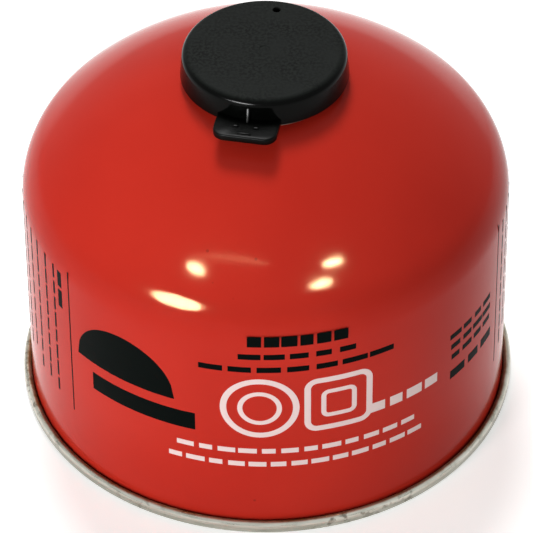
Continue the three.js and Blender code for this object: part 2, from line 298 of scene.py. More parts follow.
beadCentre = canShape["mouth"] + canShape["bead"]
beadLevel = crownHeight(beadCentre + canShape["bead"]) + canShape["beadLift"]
hookPitch = canShape["plate"] + canShape["seamGap"]
bodyWall = canShape["wall"] - halfPlate
chuckWall = bodyWall - hookPitch
knuckleCentre = chuckWall - canShape["knuckle"]
panelReach = canShape["panel"] - canShape["knuckle"]
panelAngle = math.degrees(math.acos(knuckleCentre / panelReach))
panelCentre = canShape["chuckTop"] - math.sqrt(panelReach ** 2 - knuckleCentre ** 2)


# The painted shell, closed underneath by the same dish as its solid.
# Its gloss enamel is sprayed and stoved: clear reflections over a very slight orange peel, a little
# dust under the gloss, and a painted shade that darkens it where it goes down into the seam.
enamel = {"shade": "#c42b1e", "light": "#cc3022", "dust": "#7a1a14", "paintedCreviceShade": "#2a0c08",
          "cloudSize": 35.7, "fleckCell": 4.76, "fleckCore": 0.05, "fleckEdge": 0.09, "fleckSpread": 16.7,
          "dustAmount": 0.55, "paintedCreviceShadeLow": -0.6, "paintedCreviceShadeHigh": 0.4, "paintedCreviceShadeAmount": 0.6,
          "ior": 1.5, "gloss": 0.06, "hazeSize": 11.1, "smoothest": 0.08, "roughest": 0.12,
          "peelSize": 1.923, "peelDepth": 0.12, "peelStrength": 0.05}
shellSteps = {"panel": 14, "knuckle": 6, "hookOuter": 12, "hookInner": 10, "wall": 8,
              "shoulder": 20, "crown": 22, "bead": 16}


def redEnamel():
    s = enamel
    material, tree, shader, where = newMaterial("redEnamel")
    cloud = addNode(tree, "ShaderNodeTexNoise", Vector=where, Scale=perMetre(s["cloudSize"]), Detail=2)
    cloudy = addNode(tree, "ShaderNodeMapRange", Value=cloud, From_Min=0.35, From_Max=0.65)
    base = addNode(tree, "ShaderNodeMix", colourMix, out=2, i0=cloudy, i6=hexColour(s["shade"]),
                   i7=hexColour(s["light"]))
    cell = addNode(tree, "ShaderNodeTexVoronoi", Vector=where, Scale=perMetre(s["fleckCell"]))
    fleck = addNode(tree, "ShaderNodeMapRange", Value=cell, From_Min=s["fleckCore"],
                    From_Max=s["fleckEdge"], To_Min=s["dustAmount"], To_Max=0)
    spread = addNode(tree, "ShaderNodeTexNoise", Vector=where, Scale=perMetre(s["fleckSpread"]), Detail=0)
    rare = addNode(tree, "ShaderNodeMapRange", Value=spread, From_Min=0.66, From_Max=0.7)
    dust = addNode(tree, "ShaderNodeMath", times, i0=fleck, i1=rare)
    dusty = addNode(tree, "ShaderNodeMix", colourMix, out=2, i0=dust, i6=base, i7=hexColour(s["dust"]))
    height = addNode(tree, "ShaderNodeSeparateXYZ", out="Z", Vector=where)
    # painted shade: the enamel is darkened just above the seam, where the crevice lies in shadow
    paintedCreviceShade = addNode(tree, "ShaderNodeMapRange", Value=height,
                    From_Min=(canShape["seamHeight"] + s["paintedCreviceShadeLow"]) * mm,
                    From_Max=(canShape["seamHeight"] + s["paintedCreviceShadeHigh"]) * mm,
                    To_Min=s["paintedCreviceShadeAmount"], To_Max=0)
    painted = addNode(tree, "ShaderNodeMix", colourMix, out=2, i0=paintedCreviceShade, i6=dusty, i7=hexColour(s["paintedCreviceShade"]))
    haze = addNode(tree, "ShaderNodeTexNoise", Vector=where, Scale=perMetre(s["hazeSize"]), Detail=3)
    rough = addNode(tree, "ShaderNodeMapRange", Value=haze, From_Min=0.3, From_Max=0.7,
                    To_Min=s["smoothest"], To_Max=s["roughest"])
    peel = addNode(tree, "ShaderNodeTexNoise", Vector=where, Scale=perMetre(s["peelSize"]), Detail=2)
    bump = addNode(tree, "ShaderNodeBump", Strength=s["peelStrength"],
                   Distance=s["peelDepth"] * mm, Height=peel)
    setInputs(tree, shader, {"Base Color": painted, "IOR": s["ior"], "Specular IOR Level": s["gloss"],
                             "Roughness": rough, "Normal": bump})
    return material


def makeShell():
    s = canShape
    steps = shellSteps
    fill = halfPlate + s["seamGap"]
    hookCentre = bodyWall + hookPitch
    hookLevel = 2 * hookPitch + halfPlate
    hook = bodyWall + 2 * hookPitch
    footRadius = beadCentre + s["bead"] * math.cos(math.radians(s["beadFoot"]))
    footAngle = math.degrees(math.acos(footRadius / s["crown"]))
    profile = [
        *arc(0, panelCentre, s["panel"] + fill, 90, panelAngle, steps["panel"]),
        *arc(knuckleCentre, s["chuckTop"], s["knuckle"] + fill, panelAngle, 0, steps["knuckle"])[1:],
        *arc(hookCentre, hookLevel, hookPitch + halfPlate, 180, 360, steps["hookOuter"]),
        (hook + halfPlate, s["bodyHookHeight"]),
        (hook - halfPlate, s["bodyHookHeight"]),
        *arc(hookCentre, hookLevel, hookPitch - halfPlate, 360, 180, steps["hookInner"]),
        *[(s["wall"], s["wallTop"] * i / steps["wall"]) for i in range(1, steps["wall"])],
        *arc(shoulderCentre, s["wallTop"], s["shoulder"], 0, shoulderAngle, steps["shoulder"]),
        *arc(0, crownCentre, s["crown"], shoulderAngle, footAngle, steps["crown"])[1:],
        *arc(beadCentre, beadLevel, s["bead"], s["beadFoot"], 180, steps["bead"]),
        (s["mouth"], beadLevel - s["mouthDepth"]),
        (s["pocket"], beadLevel - s["mouthDepth"]),
        (s["pocket"], s["pocketFloor"]),
        (s["well"], s["pocketFloor"]),
        (s["well"], s["wellFloor"]),
        (0, s["wellFloor"]),
    ]
    return turned("paintedShell", profile, s["around"])


shellPiece = makeShell()
place(shellPiece, "can", "red_enamel", redEnamel(), "can_body")
print("stage: shell")


# The base end with its rolled seam.
# Bare rolled tinplate: a soft grey shine, fine rolling lines, slight dents, small brown stains, rust
# only along the seam's inner upper edge, and a painted shade that darkens the seam towards its foot.
tin = {"shade": "#b9b9ad", "light": "#dcdcd1", "stain": "#5b5243", "paintedFootShade": "#6f6f63", "rust": "#7d5c33",
       "lineSize": 6.25, "lineStretch": 14, "stainSize": 1.786, "stainAmount": 0.75, "patchSize": 22.2,
       "patchLeast": 0.12, "paintedFootShadeLow": -1.4, "paintedFootShadeHigh": -0.7, "paintedFootShadeAmount": 0.45,
       "rustSize": 7.14, "rustLeast": 0.45, "rustInner": 1.0, "rustOuter": 1.6, "rustFoot": (-1.3, -0.8),
       "rustHead": (0.2, 0.4), "rustMetallic": 0.2, "smoothest": 0.22, "roughest": 0.4,
       "dentSize": 5.26, "dentDepth": 0.5, "dentStrength": 0.5, "pitDepth": 0.08, "pitStrength": 0.25}
endSteps = {"panel": 14, "knuckle": 7, "corner": 6, "topTurn": 14}


def tinplate():
    s = tin
    seamTop = canShape["seamHeight"]
    material, tree, shader, where = newMaterial("tinplate")
    out, height = axisPlace(tree, where)
    stretched = addNode(tree, "ShaderNodeMapping", Vector=where, Scale=(1, 1, s["lineStretch"]))
    lines = addNode(tree, "ShaderNodeTexNoise", Vector=stretched, Scale=perMetre(s["lineSize"]), Detail=4)
    bright = addNode(tree, "ShaderNodeMapRange", Value=lines, From_Min=0.35, From_Max=0.65)
    metal = addNode(tree, "ShaderNodeMix", colourMix, out=2, i0=bright, i6=hexColour(s["shade"]),
                    i7=hexColour(s["light"]))
    stain = addNode(tree, "ShaderNodeTexNoise", Vector=where, Scale=perMetre(s["stainSize"]),
                    Detail=2, Roughness=0.6)
    spots = addNode(tree, "ShaderNodeMapRange", Value=stain, From_Min=0.54, From_Max=0.66,
                    To_Max=s["stainAmount"])
    patch = addNode(tree, "ShaderNodeTexNoise", Vector=where, Scale=perMetre(s["patchSize"]), Detail=1)
    patches = addNode(tree, "ShaderNodeMapRange", Value=patch, From_Min=0.46, From_Max=0.6,
                      To_Min=s["patchLeast"])
    stains = addNode(tree, "ShaderNodeMath", times, i0=spots, i1=patches)
    stained = addNode(tree, "ShaderNodeMix", colourMix, out=2, i0=stains, i6=metal, i7=hexColour(s["stain"]))
    # painted shade: the seam is darkened below its upper stripe, down to its foot
    paintedFootShadeMask = addNode(tree, "ShaderNodeMapRange", Value=height, From_Min=(seamTop + s["paintedFootShadeLow"]) * mm,
                    From_Max=(seamTop + s["paintedFootShadeHigh"]) * mm, To_Min=s["paintedFootShadeAmount"], To_Max=0)
    paintedFootShade = addNode(tree, "ShaderNodeMix", colourMix, out=2, i0=paintedFootShadeMask, i6=stained,
                      i7=hexColour(s["paintedFootShade"]))
    crust = addNode(tree, "ShaderNodeTexNoise", Vector=where, Scale=perMetre(s["rustSize"]),
                    Detail=4, Roughness=0.7)
    rust = addNode(tree, "ShaderNodeMapRange", Value=crust, From_Min=0.3, From_Max=0.6,
                   To_Min=s["rustLeast"])
    inner = addNode(tree, "ShaderNodeMapRange", Value=out, From_Min=(canShape["wall"] + s["rustInner"]) * mm,
                    From_Max=(canShape["wall"] + s["rustOuter"]) * mm, To_Min=1, To_Max=0)
    foot = addNode(tree, "ShaderNodeMapRange", Value=height, From_Min=(seamTop + s["rustFoot"][0]) * mm,
                   From_Max=(seamTop + s["rustFoot"][1]) * mm)
    head = addNode(tree, "ShaderNodeMapRange", Value=height, From_Min=(seamTop + s["rustHead"][0]) * mm,
                   From_Max=(seamTop + s["rustHead"][1]) * mm, To_Min=1, To_Max=0)
    for mask in (inner, foot, head):
        rust = addNode(tree, "ShaderNodeMath", times, i0=rust, i1=mask)
    rusty = addNode(tree, "ShaderNodeMix", colourMix, out=2, i0=rust, i6=paintedFootShade, i7=hexColour(s["rust"]))
    metallic = addNode(tree, "ShaderNodeMapRange", Value=rust, To_Min=1, To_Max=s["rustMetallic"])
    rough = addNode(tree, "ShaderNodeMapRange", Value=lines, From_Min=0.3, From_Max=0.7,
                    To_Min=s["smoothest"], To_Max=s["roughest"])
    dent = addNode(tree, "ShaderNodeTexNoise", Vector=where, Scale=perMetre(s["dentSize"]), Detail=1)
    dented = addNode(tree, "ShaderNodeBump", Strength=s["dentStrength"],
                     Distance=s["dentDepth"] * mm, Height=dent)
    pitted = addNode(tree, "ShaderNodeBump", Strength=s["pitStrength"],
                     Distance=s["pitDepth"] * mm, Height=stain, Normal=dented)
    setInputs(tree, shader, {"Base Color": rusty, "Metallic": metallic, "Roughness": rough, "Normal": pitted})
    return material


def makeBaseEnd():
    s = canShape
    steps = endSteps
    corner = s["seamCorner"]
    panel = s["seam"] - halfPlate
    endHook = bodyWall + hookPitch
    topTurn = (panel - endHook) / 2
    level = s["seamHeight"] - halfPlate - topTurn
    middle = [
        *arc(0, panelCentre, s["panel"], 90, panelAngle, steps["panel"]),
        *arc(knuckleCentre, s["chuckTop"], s["knuckle"], panelAngle, 0, steps["knuckle"])[1:],
        *arc(chuckWall + corner, halfPlate + corner, corner, 180, 270, steps["corner"]),
        *arc(panel - corner, halfPlate + corner, corner, 270, 360, steps["corner"]),
        *arc(panel - topTurn, level, topTurn, 0, 180, steps["topTurn"]),
        (endHook, s["endHookTip"]),
    ]
    return turned("seamedBaseEnd", sheetSection(middle, s["plate"]), s["around"])


tinMetal = tinplate()
place(makeBaseEnd(), "can", "tinplate", tinMetal, "base_end")
print("stage: base end")


# The valve cup: crimped plate, and a rolled thread wound round its collar

cupShape = {"plate": 0.4, "mouthGap": 0.1, "rim": 2.05, "rimLift": 0.25, "rimFootGap": 0.3,
            "bulge": 0.6, "crimpDrop": 3.2, "floorDrop": 4.5, "corner": 0.8, "collar": 5.556,
            "collarRise": 1.95, "collarMouth": 2.7, "collarCorner": 0.6, "cornerSteps": 7,
            "wallCornerSteps": 5, "rimSteps": 20, "around": 96, "threadPitch": 0.907,
            "threadDepth": 0.4, "threadTurns": 6.0, "threadSteps": 48, "threadSides": 4}


def threadTree():
    tree, given = newTree("rolledThread", {"Root radius": "Float", "Turns": "Float", "Height": "Float",
                                           "Depth": "Float", "Foot": "Vector", "Metal": "Material"})
    coil = addNode(tree, "GeometryNodeCurveSpiral", Resolution=cupShape["threadSteps"],
                   Rotations=given["Turns"], Start_Radius=given["Root radius"],
                   End_Radius=given["Root radius"], Height=given["Height"])
    section = addNode(tree, "GeometryNodeCurvePrimitiveCircle", Resolution=cupShape["threadSides"],
                      Radius=given["Depth"])
    ridge = addNode(tree, "GeometryNodeCurveToMesh", Curve=coil, Profile_Curve=section, Fill_Caps=True)
    moved = addNode(tree, "GeometryNodeTransform", Geometry=ridge, Translation=given["Foot"])
    real = addNode(tree, "GeometryNodeRealizeInstances", Geometry=moved)
    dressed = addNode(tree, "GeometryNodeSetMaterial", Geometry=real, Material=given["Metal"])
    addNode(tree, "NodeGroupOutput", out=None, i0=dressed)
    return tree


def makeValveCup():
    s = cupShape
    half = s["plate"] / 2
    corner = s["corner"]
    wall = canShape["mouth"] - s["mouthGap"] - half
    rimCentre = wall + s["rim"]
    rimLevel = beadLevel + s["rimLift"]
    rimOuter = rimCentre + s["rim"]
    floor = beadLevel - s["floorDrop"]
    crimp = beadLevel - s["crimpDrop"]
    threadRoot = s["collar"] - s["threadDepth"]
    collar = threadRoot - half
    top = rimLevel + s["rim"] + s["collarRise"]
    lip = s["collarCorner"]
    middle = [
        (s["collarMouth"], top),
        *arc(collar - lip, top - lip, lip, 90, 0, s["cornerSteps"]),
        *arc(collar + corner, floor + corner, corner, 180, 270, s["cornerSteps"]),
        *arc(wall - corner, floor + corner, corner, 270, 330, s["wallCornerSteps"]),
        (wall + s["bulge"], crimp - s["bulge"] / 2),
        (wall + s["bulge"], crimp),
        (wall, crimp + s["bulge"]),
        *arc(rimCentre, rimLevel, s["rim"], 180, 0, s["rimSteps"]),
        (rimOuter, crownHeight(rimOuter) + s["rimFootGap"]),
    ]
    cup = turned("crimpedCup", sheetSection(middle, s["plate"]), s["around"], closed=True)
    thread = runTree("rolledThread", threadTree(), {
        "Root radius": threadRoot * mm, "Turns": s["threadTurns"],
        "Height": s["threadPitch"] * s["threadTurns"] * mm, "Depth": s["threadDepth"] * mm,
        "Foot": metres(0, 0, floor + half + corner), "Metal": tinMetal})
    return joined("valveCup", [cup, thread])


place(makeValveCup(), "can", "tinplate", tinMetal, "valve_cup")
print("stage: valve cup")


# The cap: disc, skirt, sleeve over the collar, vent hole and pull tab

capShape = {"top": 90.7, "face": 1.4, "topRadius": 17.68, "edge": 1.8, "skirt": 18.08, "bottom": 84.5,
            "wall": 1.0, "fillet": 0.8, "sleeveInner": 5.706, "sleeveWall": 1.05, "sleeveLength": 3.6,
            "leadIn": 0.4, "gateRadius": 1.1, "gateDepth": 0.12, "ventRadius": 0.9, "ventDistance": 13.6,
            "ventSides": 32, "azimuth": -11.4, "filletSteps": 5, "edgeSteps": 12, "around": 192,
            "tabReach": 24.0, "tabHalf": 6.8, "tabThickness": 1.6, "tabBottom": 84.4, "tabCorner": 2.6,
            "tabSoft": 0.3, "tabRootSteps": 6, "tabCornerSteps": 9, "sink": 0.3, "gussetWidth": 1.1,
            "gussetReach": 1.1, "gussetHeight": 2.9, "gussetTaper": 0.6, "gussetLean": 0.15,
            "gussetSoft": 0.3, "gripHeight": 0.3, "gripWidth": 0.6, "gripSoft": 0.12,
            "gripBars": [(-2.2, 20.6, 1.3), (2.2, 20.6, 1.3), (0, 22.8, 3.0)]}  # across, out, length

# Moulded polyethylene: a spark-eroded matt top face, glossy edge and skirt, and a satin tab.
# The grain is drawn a little coarser than the real one, so that it shows.
plastic = {"gloss": "#040504", "pit": "#030403", "grain": "#1b1f1c", "worn": "#191c1a", "grainSize": 0.6667,
           "wornSize": 9.09, "mattInner": 0.7, "mattOuter": 1.4, "mattLow": -0.9, "mattHigh": -0.4,
           "specular": 0.06, "glossRough": 0.16, "mattRough": 0.58, "satinRough": 0.16,
           "glossBump": 0.08, "mattBump": 0.5, "grainDepth": 0.1}


def blackPlastic():
    s = plastic
    rim = capShape["topRadius"] - capShape["edge"]
    material, tree, shader, where = newMaterial("blackPolyethylene")
    out, height = axisPlace(tree, where)
    onTop = addNode(tree, "ShaderNodeMapRange", Value=out, From_Min=(rim + s["mattInner"]) * mm,
                    From_Max=(rim + s["mattOuter"]) * mm, To_Min=1, To_Max=0)
    above = addNode(tree, "ShaderNodeMapRange", Value=height, From_Min=(capShape["top"] + s["mattLow"]) * mm,
                    From_Max=(capShape["top"] + s["mattHigh"]) * mm)
    matt = addNode(tree, "ShaderNodeMath", times, i0=onTop, i1=above)
    grain = addNode(tree, "ShaderNodeTexNoise", Vector=where, Scale=perMetre(s["grainSize"]), Detail=1)
    grainy = addNode(tree, "ShaderNodeMapRange", Value=grain, From_Min=0.4, From_Max=0.6)
    eroded = addNode(tree, "ShaderNodeMix", colourMix, out=2, i0=grainy, i6=hexColour(s["pit"]),
                     i7=hexColour(s["grain"]))
    cloud = addNode(tree, "ShaderNodeTexNoise", Vector=where, Scale=perMetre(s["wornSize"]), Detail=3)
    cloudy = addNode(tree, "ShaderNodeMapRange", Value=cloud, From_Min=0.35, From_Max=0.7)
    worn = addNode(tree, "ShaderNodeMix", colourMix, out=2, i0=cloudy, i6=eroded, i7=hexColour(s["worn"]))
    moulded = addNode(tree, "ShaderNodeMix", colourMix, out=2, i0=matt, i6=hexColour(s["gloss"]), i7=worn)
    satin = addNode(tree, "ShaderNodeMapRange", Value=out, From_Min=capShape["skirt"] * mm,
                    From_Max=capShape["tabReach"] * mm, To_Max=s["satinRough"])
    faceRough = addNode(tree, "ShaderNodeMapRange", Value=matt, To_Min=s["glossRough"], To_Max=s["mattRough"])
    rough = addNode(tree, "ShaderNodeMath", {"operation": "ADD"}, i0=faceRough, i1=satin)
    depth = addNode(tree, "ShaderNodeMapRange", Value=matt, To_Min=s["glossBump"], To_Max=s["mattBump"])
    bump = addNode(tree, "ShaderNodeBump", Strength=depth, Distance=s["grainDepth"] * mm, Height=grain)
    setInputs(tree, shader, {"Base Color": moulded, "Specular IOR Level": s["specular"],
                             "Roughness": rough, "Normal": bump})
    return material


def cutWith(piece, tool, operation):
    step = piece.modifiers.new("cut", "BOOLEAN")
    step.operation = operation
    step.solver = "EXACT"
    step.object = tool
    applyModifiers(piece)
    bpy.data.objects.remove(tool)


def softened(piece, width, segments):
    step = piece.modifiers.new("edges", "BEVEL")
    step.width = width * mm
    step.segments = segments
    step.limit_method = "ANGLE"
    step.angle_limit = math.radians(softAngle)
    return applyModifiers(piece)


def makeDisc():
    s = capShape
    under = s["top"] - s["face"]
    inner = s["topRadius"] - s["wall"] - s["fillet"]
    sleeve = s["sleeveInner"] + s["sleeveWall"]
    sleeveBottom = under - s["sleeveLength"]
    gateFloor = s["top"] - s["gateDepth"]
    profile = [
        (0, under),
        (s["sleeveInner"], under),
        (s["sleeveInner"], sleeveBottom + s["leadIn"]),
        (s["sleeveInner"] + s["leadIn"], sleeveBottom),
        (sleeve, sleeveBottom),
        (sleeve, under),
        *arc(inner, under - s["fillet"], s["fillet"], 90, 0, s["filletSteps"]),
        (s["skirt"] - s["wall"], s["bottom"]),
        (s["skirt"], s["bottom"]),
        *arc(s["topRadius"] - s["edge"], s["top"] - s["edge"], s["edge"], 0, 90, s["edgeSteps"]),
        (s["gateRadius"] + s["gateDepth"], s["top"]),
        (s["gateRadius"], gateFloor),
        (0, gateFloor),
    ]
    return turned("capDisc", profile, s["around"])


def makeTab(root, top):
    s = capShape
    corner = s["tabCorner"]
    spread = math.asin(s["tabHalf"] / root)
    turns = [spread * (1 - i / s["tabRootSteps"]) for i in range(2 * s["tabRootSteps"] + 1)]
    rootEdge = [(root * math.sin(a), -root * math.cos(a)) for a in turns]
    quarter = [tau / 4 * i / s["tabCornerSteps"] for i in range(s["tabCornerSteps"] + 1)]
    tip = [(s["tabHalf"] - corner + corner * math.cos(a), -s["tabReach"] + corner - corner * math.sin(a))
           for a in quarter]
    outline = rootEdge + [(-x, y) for x, y in tip] + tip[::-1]
    return softened(extruded("tab", outline, s["tabBottom"], top), s["tabSoft"], segments=3)


def makeGusset(root, tabTop):
    s = capShape
    half = s["gussetWidth"] / 2
    tip = half * s["gussetTaper"]
    front = -s["skirt"] - s["gussetReach"]
    foot = [(-half, -root), (half, -root), (tip, front), (-tip, front)]
    gusset = extruded("gusset", foot, tabTop - s["sink"], tabTop + s["gussetHeight"])
    for corner in gusset.data.vertices:  # the front edge leans back to meet the skirt
        if corner.co.z > tabTop * mm and corner.co.y < -s["skirt"] * mm:
            corner.co.y = (s["gussetLean"] - s["skirt"]) * mm
    return softened(gusset, s["gussetSoft"], segments=4)


def makeGrips(tabTop):
    s = capShape
    grips = []
    for across, out, length in s["gripBars"]:
        bar = [(across + x * length / 2, -out + y * s["gripWidth"] / 2)
               for x, y in ((-1, -1), (1, -1), (1, 1), (-1, 1))]
        grip = extruded("grip", bar, tabTop - s["sink"], tabTop + s["gripHeight"])
        grips.append(softened(grip, s["gripSoft"], segments=2))
    return grips


def makeCap():
    s = capShape
    cap = makeDisc()
    root = s["skirt"] - s["wall"] / 2
    tabTop = s["tabBottom"] + s["tabThickness"]
    for extra in [makeTab(root, tabTop), makeGusset(root, tabTop), *makeGrips(tabTop)]:
        cutWith(cap, extra, "UNION")
    hole = [(x, y + s["ventDistance"]) for x, y in roundOutline(s["ventRadius"], s["ventSides"])]
    vent = extruded("vent", hole, s["top"] - 2 * s["face"], s["top"] + s["face"])
    cutWith(cap, vent, "DIFFERENCE")
    cap.data.transform(Matrix.Rotation(math.radians(s["azimuth"]), 4, "Z"))
    shadeMesh(cap.data)
    return cap


capPiece = makeCap()
place(capPiece, "cap", "black_plastic", blackPlastic(), "cap")
print("stage: cap")


# Finishes of the small pieces and the inks: one colour with a fine mottle, as the moulded, drawn or
# turned surface has, and a roughness that wanders a little with it

mottle = {"size": 2.5, "spread": 0.05}
smallFinishes = {  # colour, roughness, metallic, share of mottle, specular level
    "springWire": ("#b4b6b8", 0.3, 1.0, 0.06, 0.5),  # drawn steel wire, bright
    "nitrileRubber": ("#1d1d1d", 0.8, 0.0, 0.06, 0.5),  # moulded ring, dull
    "sealRubber": ("#232323", 0.75, 0.0, 0.06, 0.5),  # cut washer, dull
    "whiteAcetal": ("#dedbd0", 0.4, 0.0, 0.06, 0.5),  # moulded, waxy sheen
    "turnedBrass": ("#c7a35c", 0.32, 1.0, 0.06, 0.5),  # turned bar, soft shine
    "blackPrintInk": ("#060c0a", 0.4, 0.0, 0.06, 0.015),  # screen-printed, flatter than the enamel
    "palePrintInk": ("#fbe2df", 0.3, 0.0, 0.03, 0.1),  # screen-printed, faintly tinted by the red below
}


def smallFinish(name):
    colour, roughness, metallic, share, gloss = smallFinishes[name]
    material, tree, shader, where = newMaterial(name)
    cloud = addNode(tree, "ShaderNodeTexNoise", Vector=where, Scale=perMetre(mottle["size"]), Detail=3)
    dark = tuple(c * (1 - 2 * share) for c in hexColour(colour)[:3]) + (1.0,)
    mottled = addNode(tree, "ShaderNodeMix", colourMix, out=2, i0=cloud, i6=dark, i7=hexColour(colour))
    rough = addNode(tree, "ShaderNodeMapRange", Value=cloud, From_Min=0.3, From_Max=0.7,
                    To_Min=roughness - mottle["spread"], To_Max=roughness + mottle["spread"])
    setInputs(tree, shader, {"Base Color": mottled, "Metallic": metallic, "Specular IOR Level": gloss,
                             "Roughness": rough})
    return material


# The valve spring: a round wire coil with closed end turns

springShape = {"wire": 0.5, "turns": 6, "closedTurns": 1, "closedGap": 0.075, "stepsPerTurn": 40, "sides": 12}


def makeSpring(low, high):
    s = springShape
    half = s["wire"] / 2
    radius = high.x / mm - half
    closedPitch = s["wire"] + s["closedGap"]
    openTurns = s["turns"] - 2 * s["closedTurns"]
    rise = (high.z - low.z) / mm - s["wire"]
    openPitch = (rise - 2 * s["closedTurns"] * closedPitch) / openTurns
    section = roundOutline(half, s["sides"])
    shape = bmesh.new()
    rings = []
    for i in range(s["turns"] * s["stepsPerTurn"] + 1):
        turn = i / s["stepsPerTurn"]
        closed = min(turn, s["closedTurns"]) + max(turn - s["closedTurns"] - openTurns, 0)
        height = low.z / mm + half + closed * closedPitch + (turn - closed) * openPitch
        across = Vector((math.cos(tau * turn), math.sin(tau * turn), 0))
        rings.append([shape.verts.new((across * (radius + out) + Vector((0, 0, height + up))) * mm)
                      for out, up in section])
    return skinned("coiledSpring", shape, rings)


springLow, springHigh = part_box("valve_spring")
springPiece = makeSpring(springLow, springHigh)
place(springPiece, "can", "spring_steel", smallFinish("springWire"), "valve_spring")
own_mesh(springPiece)
print("stage: spring")


# The other small valve pieces keep their solids and get their finish

valveFinishes = {"rim_gasket": "nitrileRubber", "stem_seal": "sealRubber", "valve_housing": "whiteAcetal",
                 "valve_stem": "turnedBrass"}
for nodeName, finishName in valveFinishes.items():
    solidPiece = bpy.data.objects[nodeName]
    solidPiece.data.materials.clear()
    solidPiece.data.materials.append(smallFinish(finishName))
print("stage: valve pieces")


# Print on the wall: plain bars and simple shapes in black and pale pink, no lettering

printShape = {"lift": 0.03, "rowShortest": 0.62, "rowLongest": 0.93, "columnShortest": 0.7,
              "columnLongest": 0.92, "columnSeed": 40, "barSteps": 8}
# Rows across the wall: first and last azimuth in degrees, height, bar height, number of bars, ink
printRows = {
    "titleRow": (-5, 19, 54.9, 2.9, 6, "black"), "secondRow": (-7, 21.5, 50.6, 1.5, 5, "black"),
    "thirdRow": (-16.5, 30.5, 46.9, 1.5, 7, "black"), "noteRow": (23.5, 44, 31, 2.6, 4, "pale"),
    "lowerRowA": (-22, 37, 23.2, 1.35, 12, "pale"), "lowerRowB": (-24.5, 39, 19.3, 1.35, 13, "pale"),
    "sideRowA": (47.5, 66, 39.5, 1.4, 4, "black"), "sideRowB": (47.5, 66, 36.5, 1.4, 4, "black"),
    "sideRowC": (47.5, 66, 33.5, 1.4, 4, "black"), "sideRowD": (47.5, 67, 28.4, 2.3, 3, "black"),
}
# Columns down the wall, in black: azimuth, top height, bottom height, bar width, number of bars
printColumns = {
    "leftColumnA": (-56.5, 54.6, 43.5, 1.5, 2), "leftColumnB": (-59.2, 54.8, 17, 0.65, 8),
    "leftColumnC": (-63.3, 54.8, 18, 0.65, 8), "leftColumnD": (-68.2, 54.8, 17, 0.65, 8),
    "leftColumnE": (-72.8, 54.8, 20, 0.65, 7), "leftColumnF": (-77.6, 54.8, 17, 0.65, 8),
    "leftColumnG": (-82.3, 54.8, 19, 0.65, 8), "leftColumnH": (-87, 54.8, 17, 0.65, 8),
    "leftColumnI": (-91.7, 54.8, 18, 0.65, 8), "leftColumnJ": (-96.4, 54.8, 26, 0.65, 6),
    "leftRule": (-52.8, 56.2, 16, 0.35, 1), "rightRule": (70.5, 55.8, 16, 0.35, 1),
    "rightColumnA": (74.5, 54.8, 18, 0.65, 8), "rightColumnB": (79, 54.8, 20, 0.65, 7),
    "rightColumnC": (83.5, 54.8, 17, 0.65, 8), "rightColumnD": (88, 54.8, 18, 0.65, 8),
    "rightColumnE": (92.5, 54.8, 17, 0.65, 8), "rightColumnF": (97, 54.8, 30, 0.65, 5),
}
symbols = {"height": 35.8, "ringAzimuth": -1.9, "squareAzimuth": 16.6, "outerLine": 1.4, "innerLine": 1.1,
           "ring": 7.8, "innerRing": 4.2, "square": 6.9, "squareCorner": 2.2, "innerSquare": 3.4,
           "innerCorner": 1.2, "ringSteps": 72, "cornerSteps": 8, "sideSteps": 6}
halfRound = {"azimuths": (-50, -22), "foot": 35.2, "rise": 12.2, "edge": 0.02, "steps": 40}
plainBar = {"azimuths": (-45, -17), "foot": 27.6, "top": 32.4, "steps": 24}
wallRadius = canShape["wall"]
inkNames = {"black": "blackPrintInk", "pale": "palePrintInk"}
inks = {colour: smallFinish(name) for colour, name in inkNames.items()}
printed = {colour: [] for colour in inks}


def dashTree():
    tree, given = newTree("printedDashes", {
        "Start": "Vector", "Step": "Vector", "Count": "Int", "Longest": "Vector", "Shortest": "Vector",
        "Radius": "Float", "Seed": "Int", "Ink": "Material"})
    row = addNode(tree, "GeometryNodeMeshLine", {"mode": "OFFSET"}, Count=given["Count"],
                  Start_Location=given["Start"], Offset=given["Step"])
    dash = addNode(tree, "GeometryNodeMeshCube", Size=(1, 1, 1), Vertices_X=printShape["barSteps"] + 1,
                   Vertices_Y=2, Vertices_Z=2)
    size = addNode(tree, "FunctionNodeRandomValue", {"data_type": "FLOAT_VECTOR"}, i0=given["Shortest"],
                   i1=given["Longest"], Seed=given["Seed"])
    copies = addNode(tree, "GeometryNodeInstanceOnPoints", Points=row, Instance=dash, Scale=size)
    real = addNode(tree, "GeometryNodeRealizeInstances", Geometry=copies)
    spot = addNode(tree, "GeometryNodeInputPosition")
    parts = addNode(tree, "ShaderNodeSeparateXYZ", out=None, Vector=spot)
    angle = addNode(tree, "ShaderNodeMath", {"operation": "DIVIDE"}, i0=parts["X"], i1=given["Radius"])
    depth = addNode(tree, "ShaderNodeMath", {"operation": "SUBTRACT"}, i0=given["Radius"], i1=parts["Y"])
    sine = addNode(tree, "ShaderNodeMath", {"operation": "SINE"}, i0=angle)
    cosine = addNode(tree, "ShaderNodeMath", {"operation": "COSINE"}, i0=angle)
    across = addNode(tree, "ShaderNodeMath", times, i0=depth, i1=sine)
    front = addNode(tree, "ShaderNodeMath", times, i0=depth, i1=cosine)
    back = addNode(tree, "ShaderNodeMath", times, i0=front, i1=-1)
    wrapped = addNode(tree, "ShaderNodeCombineXYZ", X=across, Y=back, Z=parts["Z"])
    bent = addNode(tree, "GeometryNodeSetPosition", Geometry=real, Position=wrapped)
    dressed = addNode(tree, "GeometryNodeSetMaterial", Geometry=bent, Material=given["Ink"])
    addNode(tree, "NodeGroupOutput", out=None, i0=dressed)
    return tree


def printBars(name, ink, seed, count, start, step, shortest, longest):
    printed[ink].append(runTree(name, dashes, {
        "Start": metres(*start), "Step": metres(*step), "Count": count, "Shortest": metres(*shortest),
        "Longest": metres(*longest), "Radius": wallRadius * mm, "Seed": seed, "Ink": inks[ink]}))


